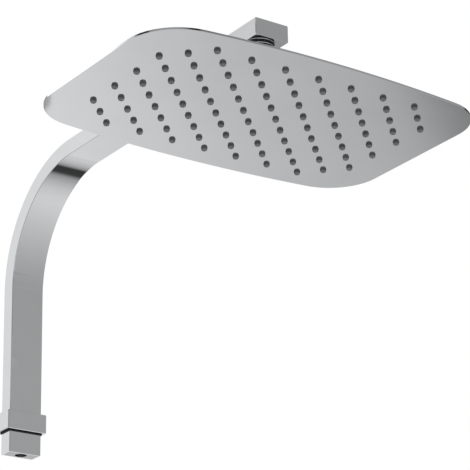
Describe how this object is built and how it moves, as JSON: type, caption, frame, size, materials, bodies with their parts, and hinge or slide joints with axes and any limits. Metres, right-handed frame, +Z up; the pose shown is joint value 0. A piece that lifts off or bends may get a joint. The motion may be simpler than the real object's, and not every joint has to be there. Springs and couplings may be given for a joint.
{
  "type": "overhead shower on a swan-neck column arm",
  "caption": "Thin bowed rectangular rain head with rubber nozzles, hung by a ball joint under a flat swan-neck arm that swivels on the top of a shower column.",
  "frame": {"origin": "centre of the riser's lower end, in the mouth of the water inlet", "axes": "+Z up along the riser, -Y along the arm towards the head, X along the head's long side"},
  "size_m": [0.36, 0.5557, 0.2993],
  "materials": {
    "chromed_tube": "bright chromed brass tube",
    "chromed_fitting": "bright chromed brass, turned or cast",
    "polished_sheet": "mirror-polished stainless sheet",
    "plain_brass": "bare turned brass, out of sight",
    "plain_steel": "plain stainless steel",
    "black_rubber": "matt black sealing rubber",
    "nozzle_rubber": "dark grey silicone",
    "white_plastic": "low-friction bearing plastic"
  },
  "bodies": {
    "riser": {"riser_tube": "chromed_tube", "riser_socket": "plain_steel", "slip_gasket": "black_rubber", "stop_screw": "plain_steel"},
    "arm": {"arm_tube": "chromed_tube", "arm_end_cap": "chromed_tube", "joint_collar": "chromed_fitting", "arm_spigot": "plain_brass", "spigot_seal": "black_rubber", "outlet_nut": "plain_brass", "outlet_washer": "black_rubber", "ball_stud": "chromed_fitting"},
    "tilt_ring": {"friction_ring": "white_plastic"},
    "swivel_seat": {"ball_seat": "white_plastic"},
    "head": {"union_nut": "chromed_fitting", "hub_boss": "chromed_fitting", "flow_regulator": "white_plastic", "back_plate": "polished_sheet", "face_plate": "polished_sheet", "nozzle_mat": "nozzle_rubber", "stay_studs": "plain_steel"}
  },
  "joints": [
    {"name": "arm_swivel", "type": "hinge", "parent": "riser", "child": "arm", "pos_m": [0, 0, 0.0228], "axis": [0, 0, 1], "range_deg": [-45, 45]},
    {"name": "head_pitch", "type": "hinge", "parent": "arm", "child": "tilt_ring", "pos_m": [0, -0.4232, 0.2603], "axis": [1, 0, 0], "range_deg": [-12, 12]},
    {"name": "head_roll", "type": "hinge", "parent": "tilt_ring", "child": "swivel_seat", "pos_m": [0, -0.4232, 0.2603], "axis": [0, 1, 0], "range_deg": [-12, 12]},
    {"name": "head_spin", "type": "hinge", "parent": "swivel_seat", "child": "head", "pos_m": [0, -0.4232, 0.2603], "axis": [0, 0, 1], "continuous": true}
  ]
}
